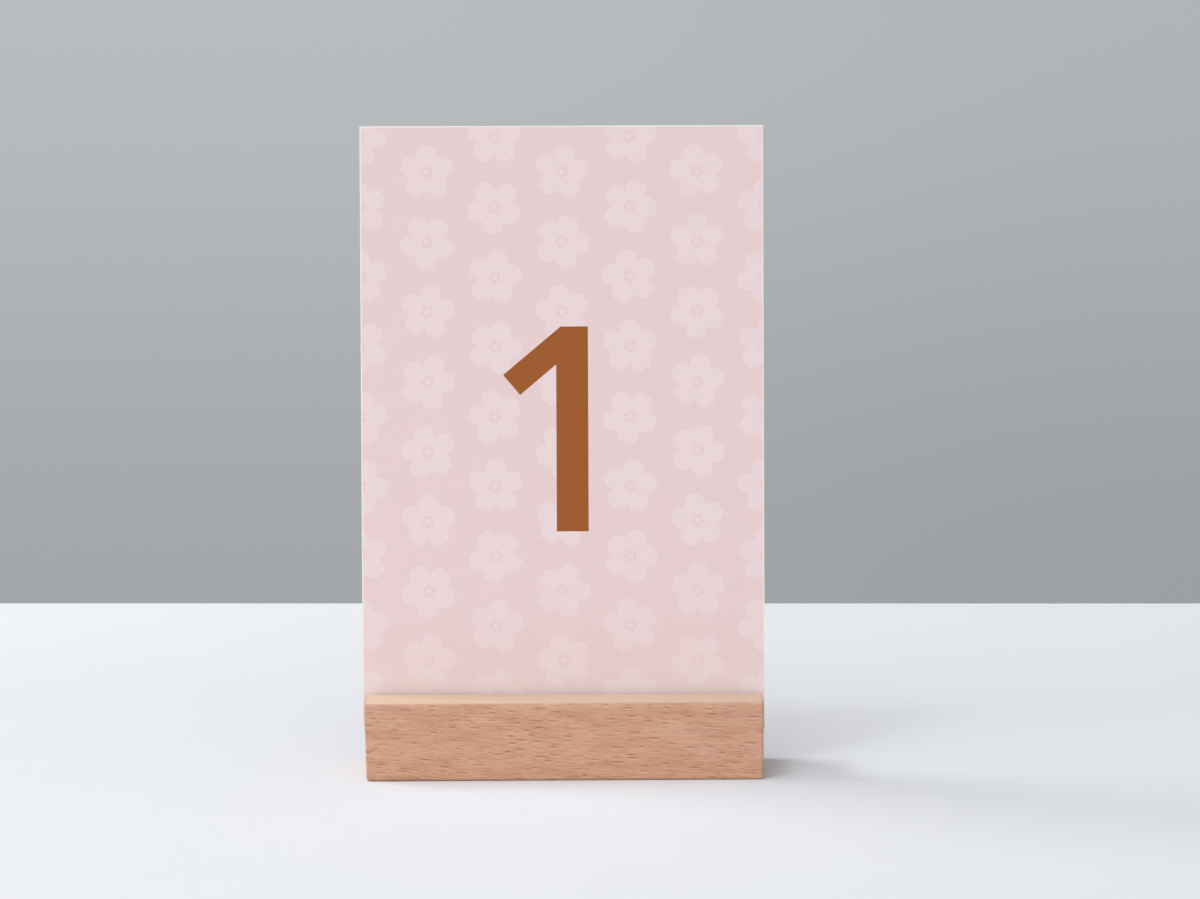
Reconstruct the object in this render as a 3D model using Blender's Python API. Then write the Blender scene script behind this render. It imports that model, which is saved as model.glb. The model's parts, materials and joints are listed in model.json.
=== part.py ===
"""Table number holder: a slotted wooden block, and the printed card that stands in its slot.

Metres, +Z up. The origin is the middle of the block's underside. +X runs along the slot, and the card's
front faces -Y. The slot is a little wider than the card, so the card leans back until it meets the slot's
front wall with its lower edge and the rear lip with its back.
"""

import math

import bmesh
import bpy
from mathutils import Matrix, Vector

# The card: a 4 x 6 inch print on heavy stock, upright
CARD_WIDTH = 0.1016
CARD_HEIGHT = 0.1524
CARD_THICKNESS = 0.0005

# The block: planed beech with its edges sanded round
BLOCK_LENGTH = 0.0995
BLOCK_DEPTH = 0.0300
BLOCK_HEIGHT = 0.0195
BLOCK_EDGE_RADIUS = 0.0008
EDGE_SEGMENTS = 4

# The slot: a saw cut along the middle of the block's top, open at both ends, with eased lips
SLOT_WIDTH = 0.0018
SLOT_DEPTH = 0.0095
SLOT_LIP_EASE = 0.0003

# Clearances of the card in the slot: to the front wall and the rear lip, and to the floor
CARD_SIDE_GAP = 0.0003
CARD_SEAT_GAP = 0.0003

# Finishes: linear colour and roughness
BEECH_COLOUR = (0.63, 0.38, 0.26, 1.0)
BEECH_ROUGHNESS = 0.55
CARD_COLOUR = (0.81, 0.62, 0.65, 1.0)
CARD_ROUGHNESS = 0.75

# Heights that the block, the slot and the card share
SLOT_FLOOR_Z = BLOCK_HEIGHT - SLOT_DEPTH
SLOT_LIP_Z = BLOCK_HEIGHT - SLOT_LIP_EASE
CARD_FOOT_Z = SLOT_FLOOR_Z + CARD_SEAT_GAP


def clear_scene():
    """Removes whatever the scene holds."""
    for leftover in list(bpy.data.objects):
        bpy.data.objects.remove(leftover)


def make_material(name, colour, roughness):
    """A plain non-metallic Principled material."""
    material = bpy.data.materials.new(name)
    material.use_nodes = True
    shader = material.node_tree.nodes["Principled BSDF"]
    shader.inputs["Base Color"].default_value = colour
    shader.inputs["Roughness"].default_value = roughness
    shader.inputs["Metallic"].default_value = 0.0
    return material


def add_empty(name, parent=None):
    """An empty that places other objects."""
    empty = bpy.data.objects.new(name, None)
    empty.parent = parent
    bpy.context.collection.objects.link(empty)
    return empty


def add_object(name, shape, parent):
    """An object made from a finished bmesh, which it uses up."""
    mesh = bpy.data.meshes.new(name)
    bmesh.ops.recalc_face_normals(shape, faces=shape.faces)
    shape.to_mesh(mesh)
    shape.free()
    added = bpy.data.objects.new(name, mesh)
    added.parent = parent
    bpy.context.collection.objects.link(added)
    return added


def box_shape(low, high):
    """A box between two opposite corners."""
    low, high = Vector(low), Vector(high)
    shape = bmesh.new()
    bmesh.ops.create_cube(shape, size=1.0)
    size = Matrix.Diagonal((high - low).to_4d())
    bmesh.ops.transform(shape, matrix=Matrix.Translation((low + high) / 2) @ size, verts=shape.verts)
    return shape


def prism_shape(outline, length):
    """An outline of (y, z) points, extruded along X and centred on it."""
    shape = bmesh.new()
    corners = [shape.verts.new((-length / 2, y, z)) for y, z in outline]
    end = shape.faces.new(corners)
    extruded = bmesh.ops.extrude_face_region(shape, geom=[end])["geom"]
    moved = [item for item in extruded if isinstance(item, bmesh.types.BMVert)]
    bmesh.ops.translate(shape, verts=moved, vec=(length, 0.0, 0.0))
    return shape


def slot_cutter(parent):
    """The slot's section, flared at the lips, run out past the block's top and both of its ends."""
    overrun = SLOT_WIDTH
    wall = SLOT_WIDTH / 2
    flare = wall + SLOT_LIP_EASE + overrun
    top = BLOCK_HEIGHT + overrun
    right = [(wall, SLOT_FLOOR_Z), (wall, SLOT_LIP_Z), (flare, top)]
    left = [(-y, z) for y, z in reversed(right)]
    cutter = add_object("slot_cutter", prism_shape(right + left, BLOCK_LENGTH + 2 * overrun), parent)
    cutter.hide_render = True
    cutter.display_type = "WIRE"
    return cutter


def build_block(holder):
    """The block: rounded on every outer edge, then sawn along its top."""
    low = (-BLOCK_LENGTH / 2, -BLOCK_DEPTH / 2, 0.0)
    high = (BLOCK_LENGTH / 2, BLOCK_DEPTH / 2, BLOCK_HEIGHT)
    block = add_object("slotted_block", box_shape(low, high), holder)
    block.data.materials.append(make_material("beech", BEECH_COLOUR, BEECH_ROUGHNESS))
    rounding = block.modifiers.new("sanded_edges", "BEVEL")
    rounding.width = BLOCK_EDGE_RADIUS
    rounding.segments = EDGE_SEGMENTS
    rounding.limit_method = "NONE"
    sawing = block.modifiers.new("saw_slot", "BOOLEAN")
    sawing.operation = "DIFFERENCE"
    sawing.solver = "EXACT"
    sawing.object = slot_cutter(holder)


def card_lean():
    """Angle from upright at which the card keeps the side gap to the front wall and to the rear lip.

    Seen from the end, the card's lower front edge is one gap behind the front wall, and the rear lip is one
    gap behind the card's back. With reach = slot width - gap and rise = the lip's height above that edge,
    reach * cos(lean) - rise * sin(lean) = card thickness + gap.
    """
    reach = SLOT_WIDTH - CARD_SIDE_GAP
    rise = SLOT_LIP_Z - CARD_FOOT_Z
    held = CARD_THICKNESS + CARD_SIDE_GAP
    return math.acos(held / math.hypot(reach, rise)) - math.atan2(rise, reach)


def build_card(holder):
    """The card, on an empty at its lower front edge that is turned so that its Z is the way the card lifts."""
    seat = add_empty("card_seat", holder)
    seat.location = (0.0, CARD_SIDE_GAP - SLOT_WIDTH / 2, CARD_FOOT_Z)
    seat.rotation_euler.x = -card_lean()
    low = (-CARD_WIDTH / 2, 0.0, 0.0)
    high = (CARD_WIDTH / 2, CARD_THICKNESS, CARD_HEIGHT)
    card = add_object("number_card", box_shape(low, high), seat)
    card.data.materials.append(make_material("printed_card", CARD_COLOUR, CARD_ROUGHNESS))


clear_scene()
table_number_holder = add_empty("table_number_holder")
build_block(table_number_holder)
build_card(table_number_holder)
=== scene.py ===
"""Looks of the table number holder: a slotted beech block and the printed card that stands in its slot.

Lengths are metres in the part's own frame: +X runs along the slot, +Y to the back and +Z up. Node formulas
work in millimetres. Each shape is an outline carried along a straight line, worked out as whole arrays.
"""

import json
import logging
import math
from dataclasses import dataclass
from enum import Enum
from typing import Any, Callable, Optional, Union

import bpy
import numpy as np
from bpy.types import Material, Node, NodeSocket, NodeTree, Object
from mathutils import Matrix, Vector


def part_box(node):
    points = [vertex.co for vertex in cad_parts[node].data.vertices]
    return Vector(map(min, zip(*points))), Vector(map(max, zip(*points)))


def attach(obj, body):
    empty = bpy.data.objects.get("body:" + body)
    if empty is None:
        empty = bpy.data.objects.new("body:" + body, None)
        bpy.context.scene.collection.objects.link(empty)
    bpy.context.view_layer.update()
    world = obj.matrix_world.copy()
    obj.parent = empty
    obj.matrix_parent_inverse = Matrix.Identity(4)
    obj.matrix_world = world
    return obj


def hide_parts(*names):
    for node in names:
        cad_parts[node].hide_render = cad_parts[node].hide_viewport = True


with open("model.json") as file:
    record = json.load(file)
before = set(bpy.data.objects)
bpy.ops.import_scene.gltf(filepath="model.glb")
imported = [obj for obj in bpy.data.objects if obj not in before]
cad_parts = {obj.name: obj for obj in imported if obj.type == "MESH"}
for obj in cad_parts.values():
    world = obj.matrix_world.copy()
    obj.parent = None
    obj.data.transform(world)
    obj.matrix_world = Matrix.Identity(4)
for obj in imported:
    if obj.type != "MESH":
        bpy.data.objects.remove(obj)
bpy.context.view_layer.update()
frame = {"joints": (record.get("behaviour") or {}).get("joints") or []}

LOG = logging.getLogger("table_number_holder")
MILLIMETRES = 1000.0
CUT_ATTRIBUTE = "cut"
CARD_MAP = "card_face"

Array = np.ndarray
Pair = tuple[float, float]
Triple = tuple[float, float, float]


# Colours


@dataclass(frozen=True)
class Tone:
    """A colour as it looks on a screen, in levels from 0 to 255."""

    red: float
    green: float
    blue: float

    def linear(self) -> tuple[float, ...]:
        """Turns the colour into linear light by the sRGB curve.

        Returns:
            Red, green and blue from 0 to 1, then full alpha, as a shader's socket takes them.
        """
        shown = np.array((self.red, self.green, self.blue)) / 255.0
        light = np.where(shown <= 0.04045, shown / 12.92, ((shown + 0.055) / 1.055) ** 2.4)
        return (*light.tolist(), 1.0)


# Node formulas


def by_math(operation: str) -> Callable[..., "Field"]:
    """Makes a method of Field that gives the result of a Math node of that kind."""
    return lambda field, *others: field.sheet.math(operation, field, *others)


class Field:
    """A number that varies over a surface, with arithmetic, so that a node formula reads as a formula.

    A modulo is never negative. Of two shapes that are given as distances, the least is their union and the
    most is what they share.
    """

    __add__ = __radd__ = by_math("ADD")
    __sub__ = by_math("SUBTRACT")
    __mul__ = __rmul__ = by_math("MULTIPLY")
    __truediv__ = by_math("DIVIDE")
    __mod__ = by_math("FLOORED_MODULO")
    __abs__ = by_math("ABSOLUTE")
    least = by_math("MINIMUM")
    most = by_math("MAXIMUM")

    def __init__(self, sheet: "NodeSheet", socket: NodeSocket) -> None:
        """Keeps the sheet that new nodes go on and the socket that gives the number."""
        self.sheet = sheet
        self.socket = socket

    def __rsub__(self, other: float) -> "Field":
        """The difference, from a plain number."""
        return self.sheet.math("SUBTRACT", other, self)

    def nearest(self) -> "Field":
        """The nearest whole number."""
        return self.sheet.math("FLOOR", self + 0.5)


Amount = Union[Field, float]
Place = tuple[Field, Field, Field]


class NodeSheet:
    """A node tree that is written like a page of formulas."""

    # Numbers of the Mix node's colour inputs and of its colour output
    MIX_FIRST, MIX_SECOND, MIXED = 6, 7, 2

    def __init__(self, tree: NodeTree) -> None:
        """Keeps the tree that the nodes go into."""
        self.tree = tree

    def node(self, kind: str, values: Optional[dict[Any, Any]] = None, **settings: Any) -> Node:
        """Adds a node.

        Args:
            kind: The node's Blender type.
            values: What its inputs are fed, by name or number.
            settings: Properties that are set on it first.

        Returns:
            The new node.
        """
        made = self.tree.nodes.new(kind)
        for name, value in settings.items():
            setattr(made, name, value)
        self.fill(made, values or {})
        return made

    def fill(self, node: Node, values: dict[Any, Any]) -> None:
        """Links fields and sockets to a node's inputs, and sets plain values on them.

        Args:
            node: The node.
            values: A Field, socket, Tone, number or tuple for each input, by name or number.
        """
        for name, value in values.items():
            value = value.socket if isinstance(value, Field) else value
            if isinstance(value, NodeSocket):
                self.tree.links.new(value, node.inputs[name])
            else:
                node.inputs[name].default_value = value.linear() if isinstance(value, Tone) else value

    def field(self, kind: str, values: dict[Any, Any], **settings: Any) -> Field:
        """Adds a node, and gives its first output."""
        return Field(self, self.node(kind, values, **settings).outputs[0])

    def math(self, operation: str, *values: Amount) -> Field:
        """The result of a Math node."""
        return self.field("ShaderNodeMath", dict(enumerate(values)), operation=operation)

    def length(self, x: Field, y: Field) -> Field:
        """The distance from the origin of a plane."""
        return self.math("SQRT", x * x + y * y)

    def join(self, x: Amount, y: Amount, z: Amount) -> NodeSocket:
        """A vector from three numbers."""
        return self.node("ShaderNodeCombineXYZ", {"X": x, "Y": y, "Z": z}).outputs[0]

    def split(self, vector: NodeSocket) -> Place:
        """The three numbers of a vector."""
        made = self.node("ShaderNodeSeparateXYZ", {"Vector": vector})
        return tuple(Field(self, socket) for socket in made.outputs)

    def band(self, value: Field, start: float, end: float) -> Field:
        """A smooth step, which is 0 at the start and 1 at the end. The end may lie below the start."""
        span = {"Value": value, "From Min": start, "From Max": end}
        return self.field("ShaderNodeMapRange", span, interpolation_type="SMOOTHSTEP")

    def mix(self, share: Amount, first: Any, second: Any, blend: str = "MIX") -> NodeSocket:
        """Two colours, mixed in Blender's way by that name, with a share of the second one."""
        inputs = {0: share, self.MIX_FIRST: first, self.MIX_SECOND: second}
        return self.node("ShaderNodeMix", inputs, data_type="RGBA", blend_type=blend).outputs[self.MIXED]

    def grey(self, value: Field) -> NodeSocket:
        """A number as a grey colour, to multiply another colour by."""
        return self.join(value, value, value)

    def placed(self, group: NodeTree, values: dict[str, Any]) -> dict[str, NodeSocket]:
        """Places a node group with its inputs by name, and gives its outputs by name."""
        made = self.node("ShaderNodeGroup", values, node_tree=group)
        return {socket.name: socket for socket in made.outputs}


@dataclass(frozen=True)
class Cloud:
    """Soft noise: its cells for each millimetre along x, y and z, its shift along z, and its octaves."""

    rate: Triple
    shift: float = 0.0
    octaves: float = 2.0
    octave_share: float = 0.5

    def drawn(self, sheet: NodeSheet, place: Place) -> Field:
        """Draws the noise at a point.

        Args:
            sheet: Where the nodes go.
            place: The point in millimetres.

        Returns:
            The noise, from 0 to 1.
        """
        x, y, z = (part * rate for part, rate in zip(place, self.rate))
        values = {"Vector": sheet.join(x, y, z + self.shift), "Scale": 1.0}
        values |= {"Detail": self.octaves, "Roughness": self.octave_share}
        return sheet.field("ShaderNodeTexNoise", values)


class GroupSheet(NodeSheet):
    """A shared effect: a shader node group that gives a colour, a roughness and a height."""

    OUTPUTS = {"Colour": "Color", "Roughness": "Float", "Height": "Float"}

    def __init__(self, name: str, inputs: dict[str, str]) -> None:
        """Makes the group and its sockets.

        Args:
            name: The group's name.
            inputs: Socket types by input name, such as Float, Color or Vector.
        """
        super().__init__(bpy.data.node_groups.new(name, "ShaderNodeTree"))
        for way, sockets in (("INPUT", inputs), ("OUTPUT", self.OUTPUTS)):
            for label, kind in sockets.items():
                self.tree.interface.new_socket(label, in_out=way, socket_type=f"NodeSocket{kind}")
        self.taken = self.node("NodeGroupInput").outputs

    def number(self, name: str) -> Field:
        """A number that the group takes."""
        return Field(self, self.taken[name])

    def give(self, **values: Any) -> NodeTree:
        """Feeds the group's outputs by name, and gives the finished group."""
        self.node("NodeGroupOutput", values)
        return self.tree


class MaterialSheet(NodeSheet):
    """A material with its Principled shader."""

    def __init__(self, name: str) -> None:
        """Makes the material.

        Args:
            name: The material's name.
        """
        self.material = bpy.data.materials.new(name)
        self.material.use_nodes = True
        super().__init__(self.material.node_tree)
        self.shader = self.tree.nodes["Principled BSDF"]

    def place(self) -> Place:
        """The surface point in the part's frame, in millimetres."""
        x, y, z = self.split(self.node("ShaderNodeTexCoord").outputs["Object"])
        return x * MILLIMETRES, y * MILLIMETRES, z * MILLIMETRES

    def surface(self, colour: Any, roughness: Any, height: Any, relief: float) -> Material:
        """Feeds the shader.

        Args:
            colour: The base colour.
            roughness: The roughness.
            height: The relief's height, from 0 to 1.
            relief: The relief's full depth in millimetres.

        Returns:
            The finished material.
        """
        bump = self.node("ShaderNodeBump", {"Distance": relief / MILLIMETRES, "Height": height})
        inputs = {"Base Color": colour, "Roughness": roughness, "Normal": bump.outputs[0]}
        self.fill(self.shader, inputs)
        return self.material

    def dressed(self, effect: NodeTree, values: dict[str, Any], relief: float) -> Material:
        """The material of a shared effect that is read at the surface point, with its other inputs."""
        look = self.placed(effect, {"Place": self.join(*self.place()), **values})
        return self.surface(look["Colour"], look["Roughness"], look["Height"], relief)


# Shapes


@dataclass(frozen=True)
class Corner:
    """A right-angled corner of an outline: its place, its rounding and how far its ends are eased."""

    a: float
    b: float
    radius: float
    ease: float


@dataclass(frozen=True)
class Samples:
    """Points along an outline, in order, with what belongs to each of them."""

    points: Array
    normals: Array
    ease: Array
    roundness: Array
    side: Array
    on_arc: Array

    def reach(self) -> Array:
        """Distance along the outline to each point, and to the first point again."""
        steps = np.linalg.norm(np.roll(self.points, -1, axis=0) - self.points, axis=1)
        return np.concatenate(([0.0], np.cumsum(steps)))


@dataclass(frozen=True)
class Outline:
    """A closed run of rounded corners, anticlockwise as seen from the far end of the carrying line."""

    corners: tuple[Corner, ...]
    pitch: float
    arc_steps: int = 6

    def sampled(self) -> Samples:
        """Samples the outline as quarter arcs joined by straight runs.

        Formula: a corner P of radius r, between the unit directions d1 in and d2 out, has the arc
        P + r (d1 (sin t - 1) + d2 (1 - cos t)) for t from 0 to a quarter turn. It is travelled along
        d1 cos t + d2 sin t, and the outward normal is that direction turned right. A straight run is cut
        into even steps of about the pitch, and its ease goes evenly from one corner's to the next one's.

        Returns:
            The samples, each corner's arc first and then the run that follows it.
        """
        sizes = np.array([(c.a, c.b, c.radius, c.ease) for c in self.corners])
        places, radii, eases = sizes[:, :2], sizes[:, 2], sizes[:, 3]
        ahead = np.roll(places, -1, axis=0) - places
        ahead /= np.linalg.norm(ahead, axis=1, keepdims=True)
        d1, d2 = np.roll(ahead, 1, axis=0)[:, None, :], ahead[:, None, :]
        turn = np.linspace(0.0, math.pi / 2, self.arc_steps + 1)
        sine, cosine = np.sin(turn)[None, :, None], np.cos(turn)[None, :, None]
        arcs = places[:, None, :] + radii[:, None, None] * (d1 * (sine - 1.0) + d2 * (1.0 - cosine))
        travel = d1 * cosine + d2 * sine
        starts, ends = arcs[:, -1], np.roll(arcs[:, 0], -1, axis=0)
        next_eases = np.roll(eases, -1)
        counts = np.ceil(np.linalg.norm(ends - starts, axis=1) / self.pitch).astype(int)
        points, headings, ease, roundness, side, on_arc = [], [], [], [], [], []
        for i, count in enumerate(counts):
            share = np.linspace(0.0, 1.0, max(count, 1) + 1)[1:-1]
            points += [arcs[i], starts[i] + share[:, None] * (ends[i] - starts[i])]
            headings += [travel[i], np.broadcast_to(ahead[i], (len(share), 2))]
            ease += [np.full(len(turn), eases[i]), eases[i] + share * (next_eases[i] - eases[i])]
            roundness += [np.sin(2.0 * turn), np.zeros(len(share))]
            side += [np.full(len(turn) + len(share), i)]
            on_arc += [turn < turn[-1], np.zeros(len(share), bool)]
        headings = np.concatenate(headings)
        normals = np.stack((headings[:, 1], -headings[:, 0]), axis=1)
        joined = [np.concatenate(part) for part in (ease, roundness, side, on_arc)]
        return Samples(np.concatenate(points), normals, *joined)


@dataclass(frozen=True)
class Line:
    """The straight line that an outline is carried along, with the axes of the outline's plane."""

    foot: Array
    along: Array
    across: Array
    outward: Array
    length: float
    pitch: float
    ease_steps: int = 5


@dataclass
class Shell:
    """A closed surface: a grid of points that is closed around, and a flat cap at each end."""

    points: Array
    normals: Array
    samples: Samples
    bake_places: Array

    def faces(self) -> tuple[Array, list[list[int]]]:
        """The grid's quads and the two caps, all facing outwards.

        Formula: point (i, j) has the number i * n + j, and a quad joins (i, j), (i, j + 1), (i + 1, j + 1)
        and (i + 1, j), with j counted round. A cap is the first ring backwards or the last ring.

        Returns:
            The quads' corners, and the caps' corners.
        """
        rings, count = self.points.shape[:2]
        number = np.arange(rings * count).reshape(rings, count)
        after = np.roll(number, -1, axis=1)
        quads = np.stack((number[:-1], after[:-1], after[1:], number[1:]), axis=-1).reshape(-1, 4)
        return quads, [number[0, ::-1].tolist(), number[-1].tolist()]

    def of_quads(self, per_sample: Array) -> Array:
        """Repeats a value of each sample for the quads that start there, ring after ring."""
        return np.tile(per_sample, len(self.points) - 1)


def carried(outline: Outline, line: Line) -> Shell:
    """Carries an outline along a line, with its two ends eased and closed by flat caps.

    Formula: at an eased end, with e the ease and t from 0 to a quarter turn, the outline lies
    e (1 - sin t) short of the end and is drawn in along its normal by e (1 - cos t). Between the ends it
    is carried in even steps. Each point is foot + along * position + across * a + outward * b.

    Args:
        outline: The outline, whose corners set the ease of the ends.
        line: Where it is carried.

    Returns:
        The closed surface, with a bake map: the grid laid flat, and the caps side by side above it.
    """
    samples = outline.sampled()
    turn = np.linspace(0.0, math.pi / 2, line.ease_steps + 1)[:, None]
    short, drawn = samples.ease * (1.0 - np.sin(turn)), samples.ease * (1.0 - np.cos(turn))
    steps = max(int(line.length / line.pitch), 1)
    share = np.linspace(0.0, 1.0, steps + 1)[1:-1, None]
    middle = samples.ease + share * (line.length - 2.0 * samples.ease)
    position = np.concatenate((short[::-1], middle, line.length - short))
    inset = np.concatenate((drawn[::-1], np.zeros_like(middle), drawn))
    tilt = np.concatenate((-turn[::-1], np.zeros_like(share), turn))
    flat = samples.points - samples.normals * inset[..., None]
    sideways = samples.normals[:, :1] * line.across + samples.normals[:, 1:] * line.outward
    points = line.foot + position[..., None] * line.along
    points = points + flat[..., :1] * line.across + flat[..., 1:] * line.outward
    normals = np.cos(tilt)[..., None] * sideways + np.sin(tilt)[..., None] * line.along
    return Shell(points, normals, samples, bake_places(samples, position, flat))


def bake_places(samples: Samples, position: Array, flat: Array, gap: float = 0.01) -> Array:
    """Lays a carried outline flat in the unit square, without overlaps.

    Formula: a grid point lies at its distance along the outline and its position along the line. The caps
    lie side by side above the grid, as they are. Both directions are scaled to fill the square.

    Args:
        samples: The outline's samples.
        position: Each grid point's position along the line.
        flat: Each grid point's place in the outline's plane.
        gap: Free space round each patch, as a share of the square.

    Returns:
        A place for each corner of each quad, then of each cap.
    """
    reach = np.broadcast_to(samples.reach(), (len(position), len(samples.side) + 1))
    height = np.concatenate((position, position[:, :1]), axis=1)
    sheet = np.stack((reach, height), axis=-1)
    quads = np.stack((sheet[:-1, :-1], sheet[:-1, 1:], sheet[1:, 1:], sheet[1:, :-1]), axis=2)
    caps = np.stack((flat[0, ::-1], flat[-1]))
    caps = caps - caps.min(axis=(0, 1))
    cap_width, cap_height = caps.max(axis=(0, 1))
    width = max(reach.max(), 2.0 * cap_width)
    scale = (1.0 - 3.0 * gap) / np.array((width, height.max() + cap_height))
    caps = caps * scale + np.array(((gap, height.max() * scale[1] + 2.0 * gap),))
    caps[1, :, 0] += cap_width * scale[0] + gap
    return np.concatenate(((quads * scale + gap).reshape(-1, 2), caps.reshape(-1, 2)))


def add_object(name: str, shell: Shell, materials: list[Material], worn: Array) -> Object:
    """Makes an object from a shell.

    Args:
        name: The object's name.
        shell: Its surface.
        materials: Its materials.
        worn: The number of the material on each quad, then on each cap.

    Returns:
        The object, at the origin, with its place in its mesh.
    """
    quads, caps = shell.faces()
    mesh = bpy.data.meshes.new(name)
    mesh.from_pydata(shell.points.reshape(-1, 3), [], quads.tolist() + caps)
    for material in materials:
        mesh.materials.append(material)
    mesh.polygons.foreach_set("material_index", worn.astype(np.int32))
    mesh.polygons.foreach_set("use_smooth", np.arange(len(mesh.polygons)) < len(quads))
    bake_map = mesh.uv_layers.new(name="OFBake")
    bake_map.uv.foreach_set("vector", shell.bake_places.astype(np.float32).ravel())
    mesh.normals_split_custom_set_from_vertices(shell.normals.reshape(-1, 3))
    mesh.update()
    made = bpy.data.objects.new(name, mesh)
    bpy.context.scene.collection.objects.link(made)
    LOG.info("%s: %d points, %d faces", name, len(mesh.vertices), len(mesh.polygons))
    return made


# Beech


@dataclass(frozen=True)
class RayLayer:
    """Rays of one size: thin lens-shaped bodies in the wood, in millimetres."""

    cell: Triple
    half_length: Pair
    half_depth: float
    half_thickness: Pair
    filled_cells: float
    jitter: float = 0.85
    soft_edge: Pair = (1.15, 0.4)
    faintest: float = 0.4
    # How far below each ray its painted highlight lies, in the ray's thicknesses
    highlight_drop: float = 2.0

    def drawn(self, sheet: NodeSheet, place: Place) -> tuple[Field, Field]:
        """Draws the rays at a point.

        Formula: each cell of a jittered lattice holds one ray at its middle. With dx along the grain, dy
        into the wood and dz across, a point is inside where
        |dz| / thickness + (dx / length)^2 + (dy / depth)^2 < 1. The cell's own random numbers set the
        ray's length, thickness and strength, and whether it is there. Each ray has a painted highlight: a
        pale copy of the same form, highlight_drop thicknesses below it, where a recessed ray's lower edge
        would catch the light.

        Args:
            sheet: Where the nodes go.
            place: The point, with the grain's slope and wander taken out.

        Returns:
            Masks of the dark rays and of their painted highlights.
        """
        cells = sheet.join(*(part / size for part, size in zip(place, self.cell)))
        values = {"Vector": cells, "Scale": 1.0, "Randomness": self.jitter}
        lattice = sheet.node("ShaderNodeTexVoronoi", values)
        middles = sheet.split(lattice.outputs["Position"])
        dx, dy, dz = (part - middle * size for part, middle, size in zip(place, middles, self.cell))
        drawn_length, drawn_thickness, kind = sheet.split(lattice.outputs["Color"])
        shortest, longest = self.half_length
        thinnest, thickest = self.half_thickness
        along = dx / (drawn_length * (longest - shortest) + shortest)
        into = dy / self.half_depth
        thickness = drawn_thickness * (thickest - thinnest) + thinnest
        away = along * along + into * into
        dark = sheet.band(abs(dz) / thickness + away, *self.soft_edge)
        # Painted highlight: a pale copy of the ray just below it, where light would catch its lower edge
        lip = sheet.band(abs(dz + thickness * self.highlight_drop) / thickness + away, *self.soft_edge)
        strength = drawn_thickness * (1.0 - self.faintest) + self.faintest
        strength = sheet.math("LESS_THAN", kind, self.filled_cells) * strength
        return dark * strength, lip * strength


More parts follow.
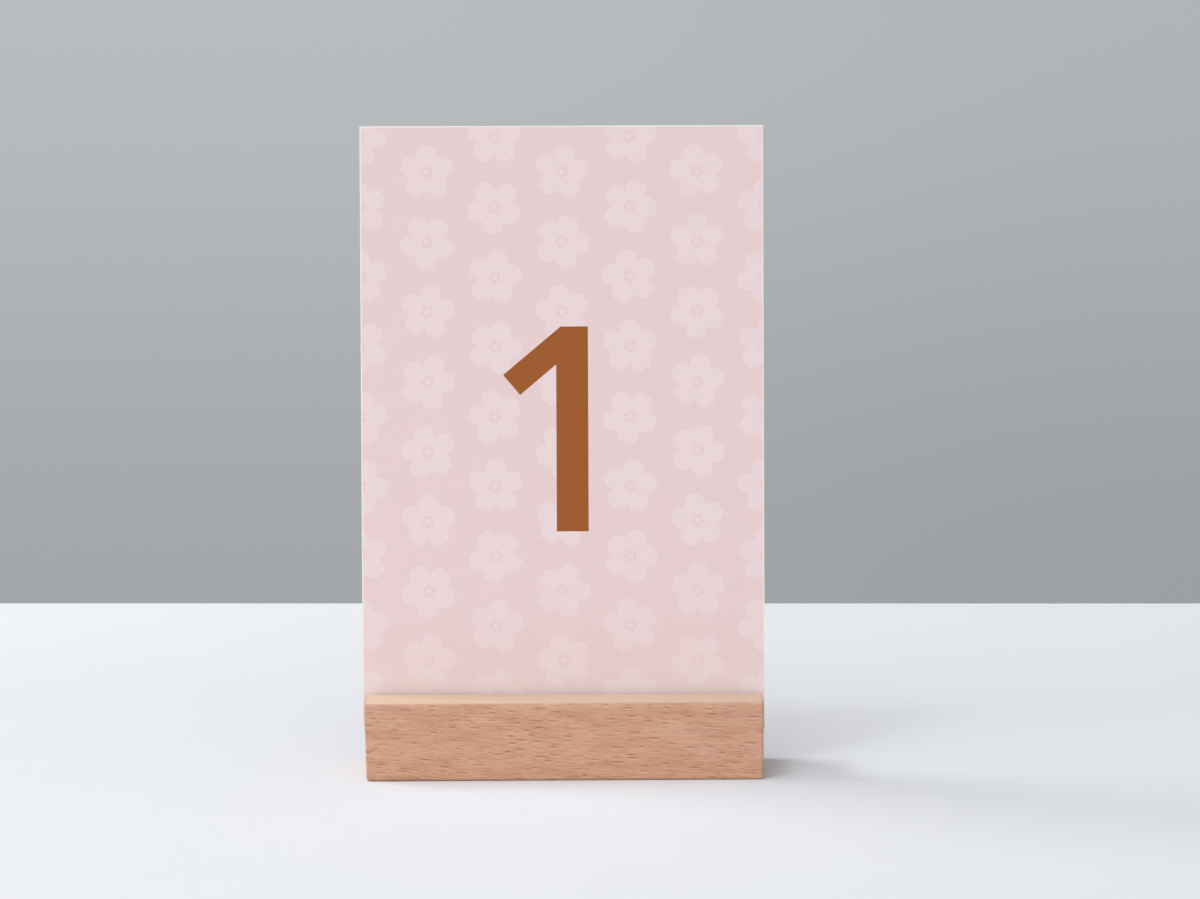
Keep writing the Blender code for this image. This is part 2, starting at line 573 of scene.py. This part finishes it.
@dataclass(frozen=True)
class BeechGrain:
    """The wood itself: how its grain runs, in millimetres, and how strongly each feature shows."""

    # The run of the grain and the rings
    slope: float = 0.045
    drift: Cloud = Cloud((0.018, 0.03, 0.05), octaves=1.0)
    wander: float = 1.2
    pith: Pair = (96.0, 27.0)
    ring_width: float = 2.6
    ring_wander: float = 1.4
    late_wood: Pair = (0.35, 0.95)

    # Upright faces
    mottle: Cloud = Cloud((0.09, 0.2, 0.25), shift=17.0)
    mottle_share: float = 1.1
    fibre: Cloud = Cloud((0.12, 0.9, 1.5), octave_share=0.55)
    fibre_share: float = 0.8
    late_on_ends: float = 0.3
    late_on_sides: float = 0.06
    side_paling: float = 0.47
    straw: Cloud = Cloud((0.1, 0.2, 0.4), shift=31.0)
    straw_span: Pair = (0.42, 0.68)
    straw_share: float = 0.5

    # Level faces
    level_span: Pair = (0.62, 1.0)
    level_share: float = 0.9
    streak: Cloud = Cloud((0.025, 1.3, 1.3), octaves=4.0, octave_share=0.62)
    streak_share: float = 1.5
    late_on_top: float = 0.3
    fleck: Cloud = Cloud((0.3, 0.11, 0.3), shift=7.0)
    fleck_span: Pair = (0.58, 0.72)
    fleck_share: float = 0.15
    top_paling: float = 0.55
    figure_share: float = 0.5

    # Rays with their painted highlights, and painted shade on the rounded top edges
    large_rays: RayLayer = RayLayer((4.8, 14.0, 1.05), (1.0, 2.2), 16.0, (0.14, 0.24), 0.9)
    small_rays: RayLayer = RayLayer((3.2, 9.0, 0.75), (0.7, 1.4), 10.0, (0.11, 0.18), 0.8)
    small_ray_share: float = 0.5
    painted_highlight_share: float = 0.65
    below_level: Pair = (1.0, 0.88)
    above_upright: Pair = (0.0, 0.3)
    # Painted shade on the rounded top edges fades in between these heights, in millimetres
    painted_edge_shade_span: Pair = (6.0, 14.0)

    # Roughness and relief
    fibre_roughness: float = 0.1
    end_roughness: float = 0.15
    ray_gloss: float = 0.06
    fibre_relief: float = 0.6
    ray_relief: float = 0.5
    base_relief: float = 0.4

    def group(self) -> NodeTree:
        """Makes the shared beech effect.

        Formula: the grain slopes and wanders, so the height is read as z + slope x + noise. Rings are the
        fraction of the distance to a far pith over the ring width. With fibre, which is noise stretched
        along the grain, and broad mottle they shade from pale to deep. Patches of straw and the rays lie
        over that, each ray with a painted highlight below it. A level face is smoother, with straight
        streaks, ring lines and flecks of its own, and is paler partly by its own cut and partly by painted
        sheen and painted light from above. Painted shade darkens the rounded top edges. Cut holds the
        squares of the normal's x, y and z.

        Returns:
            The group, which gives colour, roughness and height.
        """
        inputs = {"Place": "Vector", "Cut": "Vector"}
        inputs |= dict.fromkeys(("Pale", "Deep", "Straw", "Ray", "Top"), "Color")
        inputs |= dict.fromkeys(("Rays", "End shade", "Painted edge shade", "Base roughness"), "Float")
        sheet = GroupSheet("beech_grain", inputs)
        place = sheet.split(sheet.taken["Place"])
        end, _, upward = sheet.split(sheet.taken["Cut"])
        flat = sheet.band(upward, *self.level_span)
        upright = 1.0 - flat
        x, y, z = place
        drift = self.drift.drawn(sheet, place) - 0.5
        height = z + x * self.slope + drift * self.wander
        grain = (x, y, height)
        across_pith = sheet.length(y - self.pith[0], height - self.pith[1])
        ring = sheet.math("FRACT", across_pith / self.ring_width + drift * self.ring_wander)
        late_start, late_peak = self.late_wood
        late = sheet.band(ring, late_start, late_peak) - sheet.band(ring, late_peak, 1.0)
        fibre = self.fibre.drawn(sheet, grain)
        late_share = end * self.late_on_ends + self.late_on_sides
        depth = self.mottle.drawn(sheet, grain) * self.mottle_share + fibre * self.fibre_share
        depth = depth + late * late_share - self.side_paling
        shaded = sheet.mix(sheet.band(depth, 0.0, 1.0), sheet.taken["Pale"], sheet.taken["Deep"])
        straw = sheet.band(self.straw.drawn(sheet, grain), *self.straw_span)
        side = sheet.mix(straw * self.straw_share, shaded, sheet.taken["Straw"])
        figure = self.streak.drawn(sheet, place) * self.streak_share + late * self.late_on_top
        fleck = sheet.band(self.fleck.drawn(sheet, place), *self.fleck_span)
        figure = sheet.band(figure + fleck * self.fleck_share - self.top_paling, 0.0, 1.0)
        # Level faces take the Top tone, paler partly by their own cut and partly by painted sheen and
        # painted light from above
        level = sheet.mix(figure * self.figure_share, sheet.taken["Top"], sheet.taken["Deep"])
        body = sheet.mix(flat * self.level_share, side, level)
        large_dark, large_ray_highlight = self.large_rays.drawn(sheet, grain)
        small_dark, small_ray_highlight = self.small_rays.drawn(sheet, grain)
        dark = large_dark.most(small_dark * self.small_ray_share) * upright
        # Painted highlights: pale copies just below the rays, mixed towards the Top tone
        pale = large_ray_highlight.most(small_ray_highlight * self.small_ray_share) * upright
        rayed = sheet.mix(dark * sheet.number("Rays"), body, sheet.taken["Ray"])
        with_painted_highlights = sheet.mix(pale * (1.0 - dark) * self.painted_highlight_share, rayed, sheet.taken["Top"])
        # Painted shade: the rounded top edges are darkened
        rounded = sheet.band(upward, *self.below_level) * sheet.band(upward, *self.above_upright)
        painted_edge_shade = rounded * sheet.band(z, *self.painted_edge_shade_span) * sheet.number("Painted edge shade")
        shade = (1.0 - end * sheet.number("End shade")) * (1.0 - painted_edge_shade)
        colour = sheet.mix(1.0, with_painted_highlights, sheet.grey(shade), "MULTIPLY")
        roughness = sheet.number("Base roughness") + fibre * self.fibre_roughness
        roughness = roughness + end * self.end_roughness - dark * self.ray_gloss
        relief = (fibre * self.fibre_relief - dark * self.ray_relief + self.base_relief) * upright
        return sheet.give(Colour=colour, Roughness=roughness, Height=relief)


class BeechCut(Enum):
    """How a face of the block was worked."""

    PLANED = 0
    SAWN = 1


@dataclass(frozen=True)
class BeechFinish:
    """The look of one cut of the beech."""

    name: str
    pale: Tone
    deep: Tone
    straw: Tone
    ray: Tone
    # Tone of the level faces, paler partly by their cut and partly by painted sheen and painted light from
    # above; the rays' painted highlights also mix towards it
    top: Tone
    rays: float
    roughness: float
    relief: float
    wax: float
    wax_roughness: float = 0.35
    end_shade: float = 0.16
    # How dark the painted shade on the rounded top edges is
    painted_edge_shade: float = 0.16

    def material(self, grain: NodeTree) -> Material:
        """Makes the material.

        Args:
            grain: The shared beech effect.

        Returns:
            The material.
        """
        sheet = MaterialSheet(self.name)
        sheet.shader.inputs["Coat Weight"].default_value = self.wax
        sheet.shader.inputs["Coat Roughness"].default_value = self.wax_roughness
        cut = sheet.node("ShaderNodeAttribute", attribute_name=CUT_ATTRIBUTE)
        values = {"Cut": cut.outputs["Vector"], "Pale": self.pale, "Deep": self.deep, "Straw": self.straw}
        values |= {"Ray": self.ray, "Top": self.top, "Rays": self.rays, "End shade": self.end_shade}
        values |= {"Painted edge shade": self.painted_edge_shade, "Base roughness": self.roughness}
        return sheet.dressed(grain, values, self.relief)


BEECH_FINISHES = {
    BeechCut.PLANED: BeechFinish(
        name="planed_beech",
        pale=Tone(220, 170, 142),
        deep=Tone(195, 139, 110),
        straw=Tone(211, 163, 127),
        ray=Tone(164, 90, 44),
        # Painted sheen and painted light from above make part of this level tone paler than the sides
        top=Tone(213, 188, 161),
        rays=0.68,
        roughness=0.38,
        relief=0.015,
        wax=0.2,
    ),
    BeechCut.SAWN: BeechFinish(
        name="sawn_beech",
        pale=Tone(202, 156, 129),
        deep=Tone(184, 134, 108),
        straw=Tone(196, 152, 120),
        ray=Tone(150, 98, 72),
        top=Tone(198, 156, 126),
        rays=0.4,
        roughness=0.72,
        relief=0.08,
        wax=0.0,
    ),
}


# The card's print and paper


@dataclass(frozen=True)
class Paper:
    """Uncoated card: its bare colour, and the tooth that printed and bare faces share."""

    bare: Tone = Tone(243, 238, 236)
    relief: float = 0.012
    gloss: float = 0.25
    cut_roughness: float = 0.8
    cloud: Cloud = Cloud((0.35, 0.35, 0.35), octaves=3.0)
    cloud_share: float = 0.02
    tooth: Cloud = Cloud((4.5, 4.5, 4.5), octaves=3.0, octave_share=0.6)
    tooth_share: float = 0.012
    tooth_roughness: float = 0.12

    def group(self) -> NodeTree:
        """Makes the shared paper effect.

        Formula: the colour is multiplied by 1, plus or minus half of each share of the soft cloud and the
        fine tooth. The tooth is also the height.

        Returns:
            The group, which gives colour, roughness and height.
        """
        sheet = GroupSheet("paper_tooth", {"Place": "Vector", "Ink": "Color", "Base roughness": "Float"})
        place = sheet.split(sheet.taken["Place"])
        tooth = self.tooth.drawn(sheet, place)
        darkest = 1.0 - (self.cloud_share + self.tooth_share) / 2.0
        tone = self.cloud.drawn(sheet, place) * self.cloud_share + tooth * self.tooth_share + darkest
        colour = sheet.mix(1.0, sheet.taken["Ink"], sheet.grey(tone), "MULTIPLY")
        roughness = sheet.number("Base roughness") + tooth * self.tooth_roughness
        return sheet.give(Colour=colour, Roughness=roughness, Height=tooth)

    def cut_edge(self, tooth: NodeTree) -> Material:
        """Makes the material of the card's bare cut edge from the shared paper effect."""
        values = {"Ink": self.bare, "Base roughness": self.cut_roughness}
        return MaterialSheet("card_stock").dressed(tooth, values, self.relief)


@dataclass(frozen=True)
class Numeral:
    """A plain number one: an upright stem with a slanted flag, in millimetres on the card."""

    stem_middle: float = 2.43
    stem_half: float = 4.02
    foot: float = 50.2
    head: float = 101.9
    slant: float = math.radians(40.0)
    shoulder: Pair = (-0.47, 101.9)
    armpit: Pair = (-1.5, 92.4)
    tip: Pair = (-15.2, 90.0)

    def distance(self, u: Field, w: Field) -> Field:
        """How far a point is outside the numeral, below 0 inside.

        Formula: with p along the slant and q square to it, the flag lies above the line through the armpit
        and past the line through the tip, and ends inside the stem. The stem is a strip above the foot.
        The whole lies below the slanted line through the shoulder and below the head.

        Args:
            u: Distance to the right of the card's middle.
            w: Height above the card's lower edge.

        Returns:
            The distance.
        """
        rise, run = math.sin(self.slant), math.cos(self.slant)
        p, q = u * run + w * rise, w * run - u * rise
        top, under = (b * run - a * rise for a, b in (self.shoulder, self.armpit))
        end = self.tip[0] * run + self.tip[1] * rise
        flag = (under - q).most(end - p).most(u - self.stem_middle)
        stem = (abs(u - self.stem_middle) - self.stem_half).most(self.foot - w)
        return flag.least(stem).most(q - top).most(w - self.head)


@dataclass(frozen=True)
class Blossoms:
    """Pale five-petalled blossoms tossed over the card in half-drop columns, in millimetres."""

    column: float = 17.0
    drop: float = 17.6
    petals: int = 5
    petal_middle: float = 4.2
    petal_half: float = 2.6
    petal_stretch: float = 1.1
    notch_middle: float = 7.6
    notch: float = 1.0
    ring: float = 1.35
    eye: float = 0.75
    column_turns: float = 7.0
    row_turns: float = 3.0
    turn_kinds: float = 5.0
    turn: float = 0.9

    def distance(self, sheet: NodeSheet, u: Field, w: Field) -> Field:
        """How far a point is outside the nearest blossom, below 0 inside.

        Formula: columns are one column width apart, and every other one is half a drop lower. A blossom
        is turned by (column_turns i + row_turns j) mod turn_kinds turns, in column i and row j. Its angle
        is folded into one petal's sector, where the petal is an ellipse with a round notch in its tip. A
        ring round the eye is open.

        Args:
            sheet: Where the nodes go.
            u: Distance to the right of the card's middle.
            w: Height above the card's lower edge.

        Returns:
            The distance.
        """
        column = (u / self.column).nearest()
        dropped = w + (column % 2.0) * (self.drop / 2.0)
        row = (dropped / self.drop).nearest()
        x, y = u - column * self.column, dropped - row * self.drop
        turn = ((column * self.column_turns + row * self.row_turns) % self.turn_kinds) * self.turn
        sector = 2.0 * math.pi / self.petals
        radius = sheet.length(x, y)
        angle = (sheet.math("ARCTAN2", x, y) + turn + sector / 2.0) % sector - sector / 2.0
        out, aside = radius * sheet.math("COSINE", angle), radius * sheet.math("SINE", angle)
        petal = sheet.length((out - self.petal_middle) / self.petal_stretch, aside) - self.petal_half
        notch = self.notch - sheet.length(out - self.notch_middle, aside)
        return petal.most(notch).most(self.ring - radius).least(radius - self.eye)


class CardFace(Enum):
    """What a face of the card shows."""

    PRINT = 0
    STOCK = 1


@dataclass(frozen=True)
class CardPrint:
    """The print: blossoms on a blush ground, a number and a bare hairline round both. Painted light at its
    foot.
    """

    ground: Tone = Tone(235, 210, 211)
    pale: Tone = Tone(238, 218, 219)
    ink: Tone = Tone(160, 91, 39)
    # Painted light: near the foot the ground is mixed this far towards bare paper, against the shade from
    # the block
    painted_foot_light: float = 0.3
    painted_foot_light_span: Pair = (22.0, 10.0)
    border: float = 0.28
    soft_edge: float = 0.05
    roughness: float = 0.68
    numeral: Numeral = Numeral()
    blossoms: Blossoms = Blossoms()

    def material(self, paper: Paper, tooth: NodeTree, width: float, height: float) -> Material:
        """Makes the printed material, which reads the card's own map.

        Args:
            paper: The bare paper.
            tooth: The shared paper effect.
            width: The card's width in millimetres.
            height: The card's height in millimetres.

        Returns:
            The material.
        """
        sheet = MaterialSheet("printed_card")
        sheet.shader.inputs["Specular IOR Level"].default_value = paper.gloss
        u, w, _ = sheet.split(sheet.node("ShaderNodeUVMap", uv_map=CARD_MAP).outputs[0])
        soft = self.soft_edge
        blossom = sheet.band(self.blossoms.distance(sheet, u, w), soft, -soft)
        number = sheet.band(self.numeral.distance(u, w), soft, -soft)
        inside = (width / 2.0 - abs(u)).least(w).least(height - w)
        printed = sheet.band(inside, self.border - soft, self.border + soft)
        pattern = sheet.mix(blossom, self.ground, self.pale)
        # Painted light at the foot, against the shade that the block's top casts on the card there
        with_painted_foot_light = sheet.mix(sheet.band(w, *self.painted_foot_light_span) * self.painted_foot_light, pattern, paper.bare)
        inked = sheet.mix(number, with_painted_foot_light, self.ink)
        colour = sheet.mix(printed, paper.bare, inked)
        return sheet.dressed(tooth, {"Ink": colour, "Base roughness": self.roughness}, paper.relief)


# The two pieces


@dataclass
class SlottedBlock:
    """The beech block: planed, sanded round at its edges, and sawn along its top."""

    low: Vector
    high: Vector
    slot_width: float = 0.0018
    slot_depth: float = 0.0095
    top_radius: float = 0.0013
    foot_radius: float = 0.0008
    edge_ease: float = 0.0005
    lip_radius: float = 0.0003
    lip_ease: float = 0.00025
    root_radius: float = 0.00015
    out_of_square: float = 0.02
    edge_wear: float = 0.00015
    wear_waves: tuple[Pair, ...] = ((0.34, 1.0), (0.71, 2.1), (1.33, 3.3))
    wear_phase: float = 1.7
    pitch: float = 0.001
    top_edges: tuple[int, ...] = (1, 6)
    slot_sides: tuple[int, ...] = (2, 3, 4)
    slot_roots: tuple[int, ...] = (3, 4)

    def outline(self) -> Outline:
        """Draws the block's end view.

        Returns:
            The outline, from the lower rear edge up, over the slot and round to the underside.
        """
        front, rear, top = self.low.y, self.high.y, self.high.z
        wall, floor = self.slot_width / 2, self.high.z - self.slot_depth
        edge, foot = (self.top_radius, self.edge_ease), (self.foot_radius, self.foot_radius)
        lip, root = (self.lip_radius, self.lip_ease), (self.root_radius, self.lip_ease)
        corners = (
            Corner(rear, self.low.z, *foot),
            Corner(rear, top, *edge),
            Corner(wall, top, *lip),
            Corner(wall, floor, *root),
            Corner(-wall, floor, *root),
            Corner(-wall, top, *lip),
            Corner(front, top, *edge),
            Corner(front, self.low.z, *foot),
        )
        return Outline(corners, self.pitch)

    def shell(self) -> Shell:
        """Carries the end view along the slot, wears the edges and sets the left end out of square.

        Formula: each rounded top edge is drawn in along its normal by up to the wear, times the mean of
        sines along the edge, brought between 0 and 1. A wave has its rate for each millimetre and its
        share of the side's phase. Then x moves right by out_of_square times the depth below the top, in
        full at the left end and not at all at the right end.

        Returns:
            The block's surface.
        """
        axes = np.eye(3)
        foot = np.array((self.low.x, 0.0, 0.0))
        line = Line(foot, axes[0], axes[1], axes[2], self.high.x - self.low.x, self.pitch)
        shell = carried(self.outline(), line)
        x = shell.points[..., 0] * MILLIMETRES
        phase = shell.samples.side * self.wear_phase
        waves = sum(np.sin(x * rate + share * phase) for rate, share in self.wear_waves)
        depth = waves / (2 * len(self.wear_waves)) + 0.5
        top_edge = np.isin(shell.samples.side, self.top_edges)
        wear = self.edge_wear * shell.samples.roundness * top_edge * depth
        shell.points = shell.points - shell.normals * wear[..., None]
        below = self.high.z - shell.points[..., 2]
        leftward = (self.high.x - shell.points[..., 0]) / line.length
        shell.points[..., 0] += self.out_of_square * below * leftward
        return shell

    def build(self) -> None:
        """Makes the block, dresses it and puts it on its body."""
        shell = self.shell()
        grain = BeechGrain().group()
        materials = [BEECH_FINISHES[cut].material(grain) for cut in BeechCut]
        samples = shell.samples
        root = np.isin(samples.side, self.slot_roots)
        sawn = np.isin(samples.side, self.slot_sides) & (root | ~samples.on_arc)
        cuts = np.where(sawn, BeechCut.SAWN.value, BeechCut.PLANED.value)
        worn = np.concatenate((shell.of_quads(cuts), [BeechCut.PLANED.value] * 2))
        block = add_object("beech_block", shell, materials, worn)
        cut = block.data.attributes.new(CUT_ATTRIBUTE, "FLOAT_VECTOR", "POINT")
        cut.data.foreach_set("vector", np.square(shell.normals).astype(np.float32).ravel())
        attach(block, "base")
        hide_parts("slotted_block")


@dataclass
class NumberCard:
    """The printed card: a flat sheet of heavy paper that leans back in the slot."""

    low: Vector
    high: Vector
    up: Vector
    thickness: float = 0.0005
    edge_radius: float = 0.00010
    edge_ease: float = 0.00008
    pitch: float = 0.004
    arc_steps: int = 4
    ease_steps: int = 3
    front_side: int = 0
    back_side: int = 2

    def width(self) -> float:
        """The card's width."""
        return self.high.x - self.low.x

    def height(self) -> float:
        """The card's height along its own plane, from the height of its box and its lean."""
        return (self.high.z - self.low.z - self.thickness * self.up.y) / self.up.z

    def foot(self) -> Array:
        """The middle of the card's lower front edge."""
        return np.array((0.0, self.low.y, self.low.z + self.thickness * self.up.y))

    def shell(self) -> Shell:
        """Carries the card's thin end view up its plane, from its lower edge.

        Returns:
            The card's surface.
        """
        half, rear = self.width() / 2, self.thickness
        rounding = (self.edge_radius, self.edge_ease)
        places = ((-half, 0.0), (half, 0.0), (half, rear), (-half, rear))
        corners = tuple(Corner(*place, *rounding) for place in places)
        outline = Outline(corners, self.pitch, self.arc_steps)
        rearward = np.array((0.0, self.up.z, -self.up.y))
        axes = np.array(self.up), np.array((1.0, 0.0, 0.0)), rearward
        return carried(outline, Line(self.foot(), *axes, self.height(), self.pitch, self.ease_steps))

    def face_places(self, shell: Shell) -> Array:
        """Places on the print for each corner of each quad, then of each cap, in millimetres.

        Formula: u is the distance to the right of the middle, as the reader of that side sees it, and w is
        the height above the lower edge along the card.

        Args:
            shell: The card's surface.

        Returns:
            The places.
        """
        quads, caps = shell.faces()
        corners = np.concatenate([quads.ravel(), *caps])
        points = shell.points.reshape(-1, 3)[corners]
        on_back = np.repeat(shell.of_quads(shell.samples.side >= self.back_side), 4)
        mirror = np.ones(len(corners))
        mirror[: len(on_back)] = np.where(on_back, -1.0, 1.0)
        above = (points - self.foot()) @ np.array(self.up)
        return np.stack((points[:, 0] * mirror, above), axis=1) * MILLIMETRES

    def build(self) -> None:
        """Makes the card, dresses it and puts it on its body."""
        shell = self.shell()
        paper = Paper()
        tooth = paper.group()
        size = (self.width() * MILLIMETRES, self.height() * MILLIMETRES)
        materials = [CardPrint().material(paper, tooth, *size), paper.cut_edge(tooth)]
        flat = ~shell.samples.on_arc & np.isin(shell.samples.side, (self.front_side, self.back_side))
        faces = np.where(flat, CardFace.PRINT.value, CardFace.STOCK.value)
        worn = np.concatenate((shell.of_quads(faces), [CardFace.STOCK.value] * 2))
        card = add_object("printed_card", shell, materials, worn)
        face_map = card.data.uv_layers.new(name=CARD_MAP)
        face_map.uv.foreach_set("vector", self.face_places(shell).astype(np.float32).ravel())
        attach(card, "card")
        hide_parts("number_card")


# The studio


@dataclass(frozen=True)
class SoftBox:
    """A studio lamp that faces the part. Its share is the part of the floor's light that it gives."""

    name: str
    bearing: float
    elevation: float
    distance: float
    width: float
    height: float
    share: float
    aim: Triple = (0.0, 0.0, 0.07)

    def build(self) -> None:
        """Makes the lamp.

        Formula: a lamp of power P at distance d, seen under the angle e from the floor, lights the floor
        by P sin(e) / (pi d)^2 of what a white sky of strength 1 would, so P = share (pi d)^2 / sin(e).
        The bearing is counted from the camera's side, to the left.
        """
        bearing, rise = math.radians(self.bearing), math.radians(self.elevation)
        level = math.cos(rise)
        towards = Vector((-math.sin(bearing) * level, -math.cos(bearing) * level, math.sin(rise)))
        lamp = bpy.data.lights.new(self.name, "AREA")
        lamp.shape = "RECTANGLE"
        lamp.size, lamp.size_y = self.width, self.height
        lamp.energy = self.share * (math.pi * self.distance) ** 2 / math.sin(rise)
        made = bpy.data.objects.new(self.name, lamp)
        made.location = Vector(self.aim) + towards * self.distance
        made.rotation_euler = towards.to_track_quat("Z", "Y").to_euler()
        made.visible_camera = False
        bpy.context.scene.collection.objects.link(made)


@dataclass(frozen=True)
class Viewpoint:
    """The camera, fitted to the photograph's edges of the card and the block."""

    place: Triple = (-0.0019, -1.0, 0.18901)
    down: float = math.radians(6.139)
    right: float = math.radians(0.643)
    roll: float = math.radians(-0.19)
    lens: float = 120.18
    sensor: float = 36.0

    def build(self) -> None:
        """Makes the camera and gives it to the scene."""
        data = bpy.data.cameras.new("viewpoint")
        data.lens = self.lens
        data.sensor_width = self.sensor
        camera = bpy.data.objects.new("viewpoint", data)
        aim = Matrix.Rotation(-self.right, 4, "Z") @ Matrix.Rotation(math.pi / 2 - self.down, 4, "X")
        camera.matrix_world = Matrix.Translation(self.place) @ aim @ Matrix.Rotation(self.roll, 4, "Z")
        bpy.context.scene.collection.objects.link(camera)
        bpy.context.scene.camera = camera


@dataclass(frozen=True)
class Studio:
    """The pale floor, the grey backdrop and the soft light."""

    floor_half: float = 0.2905
    floor_corner: float = 0.09
    floor_thickness: float = 0.004
    floor_ease: float = 0.001
    floor_ease_steps: int = 3
    floor_pitch: float = 0.05
    floor_arc_steps: int = 16
    floor_turn: float = math.radians(-2.0)
    floor_tone: Tone = Tone(217, 220, 225)
    floor_roughness: float = 0.85
    floor_relief: float = 0.01
    floor_cloud: Cloud = Cloud((0.02, 0.02, 0.0), octaves=4.0, octave_share=0.6)
    cloud_share: float = 0.03
    # Painted light: the floor is paler towards the back, between these depths in millimetres
    painted_floor_light: float = 0.06
    painted_floor_light_span: Pair = (90.0, 290.0)
    # The backdrop's tones and falloff are painted shade: darker towards the floor line and to the right
    backdrop_low: Tone = Tone(163, 167, 170)
    backdrop_high: Tone = Tone(184, 188, 190)
    backdrop_span: Pair = (-0.145, 0.005)
    backdrop_falloff: float = 0.09
    backdrop_turn: Pair = (-0.05, 0.16)
    sky_share: float = 0.485
    sky_lean: float = 0.5
    lamps: tuple[SoftBox, ...] = (
        SoftBox("key_lamp", 38.0, 60.0, 2.6, 0.36, 0.36, 0.09),
        SoftBox("front_left_lamp", 38.0, 62.0, 2.6, 2.2, 2.2, 0.365),
        SoftBox("left_lamp", 108.0, 37.0, 2.0, 1.1, 0.5, 0.31),
        SoftBox("front_lamp", 2.0, 15.0, 2.4, 1.5, 0.9, 0.015),
    )

    def floor(self) -> None:
        """Makes the floor: a thin slab with rounded corners, its top at the block's underside."""
        half, rounding = self.floor_half, (self.floor_corner, self.floor_ease)
        places = ((-half, -half), (half, -half), (half, half), (-half, half))
        corners = tuple(Corner(*place, *rounding) for place in places)
        outline = Outline(corners, self.floor_pitch, self.floor_arc_steps)
        side = np.array((math.cos(self.floor_turn), math.sin(self.floor_turn), 0.0))
        up = np.array((0.0, 0.0, 1.0))
        thick = self.floor_thickness
        line = Line(-thick * up, up, side, np.cross(up, side), thick, thick, self.floor_ease_steps)
        shell = carried(outline, line)
        sheet = MaterialSheet("pale_floor")
        place = sheet.place()
        cloud = self.floor_cloud.drawn(sheet, place)
        # Painted light: paler towards the back
        painted_back_light = sheet.band(place[1], *self.painted_floor_light_span) * self.painted_floor_light
        tone = cloud * self.cloud_share + painted_back_light + (1.0 - self.cloud_share / 2.0)
        colour = sheet.mix(1.0, self.floor_tone, sheet.grey(tone), "MULTIPLY")
        material = sheet.surface(colour, self.floor_roughness, cloud, self.floor_relief)
        quads, caps = shell.faces()
        add_object("floor", shell, [material], np.zeros(len(quads) + len(caps)))

    def world(self) -> None:
        """Makes the sky, a little brighter in front, and the backdrop that the camera and mirrors see."""
        world = bpy.data.worlds.new("studio")
        world.use_nodes = True
        bpy.context.scene.world = world
        sheet = NodeSheet(world.node_tree)
        sky = world.node_tree.nodes["Background"]
        direction = sheet.split(sheet.node("ShaderNodeTexCoord").outputs["Generated"])
        strength = (1.0 - direction[1] * self.sky_lean) * self.sky_share
        sheet.fill(sky, {"Color": (1.0, 1.0, 1.0, 1.0), "Strength": strength})
        # Painted shade: the backdrop darkens towards the floor line, and by the falloff to the right
        shade = sheet.band(direction[2], *self.backdrop_span)
        tone = sheet.mix(shade, self.backdrop_low, self.backdrop_high)
        falloff = sheet.band(direction[0], *self.backdrop_turn) * self.backdrop_falloff
        backdrop = sheet.node("ShaderNodeBackground", {"Color": tone, "Strength": 1.0 - falloff})
        path = sheet.node("ShaderNodeLightPath").outputs
        rays = [Field(sheet, path[f"Is {kind} Ray"]) for kind in ("Camera", "Glossy", "Transmission")]
        seen = rays[0].most(rays[1]).most(rays[2])
        choice = sheet.node("ShaderNodeMixShader", {0: seen, 1: sky.outputs[0], 2: backdrop.outputs[0]})
        sheet.fill(world.node_tree.nodes["World Output"], {"Surface": choice.outputs[0]})

    def build(self) -> None:
        """Makes the whole studio and sets the plain view transform."""
        self.floor()
        self.world()
        for lamp in self.lamps:
            lamp.build()
        Viewpoint().build()
        bpy.context.scene.view_settings.view_transform = "Standard"


def main() -> None:
    """Builds the studio, the block and the card, at the sizes of their parts in model.glb."""
    logging.basicConfig(level=logging.INFO, format="%(name)s: %(message)s")
    Studio().build()
    lift = next(joint for joint in frame["joints"] if joint["name"] == "card_lift")
    SlottedBlock(*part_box("slotted_block")).build()
    NumberCard(*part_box("number_card"), up=Vector(lift["axis"])).build()


if __name__ == "__main__":
    main()
